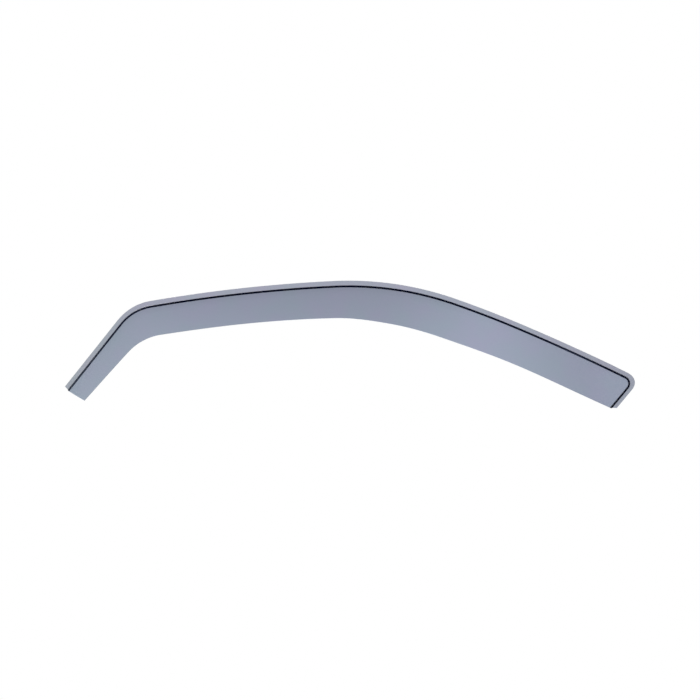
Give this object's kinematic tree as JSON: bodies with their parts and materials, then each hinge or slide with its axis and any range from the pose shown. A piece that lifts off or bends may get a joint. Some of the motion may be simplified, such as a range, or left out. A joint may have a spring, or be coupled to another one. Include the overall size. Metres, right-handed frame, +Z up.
{
  "type": "window rain deflector",
  "caption": "Smoke-tinted acrylic rain deflector for a car's side window: a curved visor below a joggled flange that slides into the window channel.",
  "frame": {"origin": "crown of the deflector, middle of the flange's width, on the flange face that lies against the window glass", "axes": "+X along the door towards the short end with the heel, +Z up into the window channel, -Y out of the car"},
  "size_m": [0.8549, 0.0368, 0.1913],
  "materials": {
    "smoke_acrylic": "smoke-tinted see-through acrylic, gloss on both faces"
  },
  "bodies": {
    "root": {"deflector": "smoke_acrylic"}
  },
  "joints": []
}
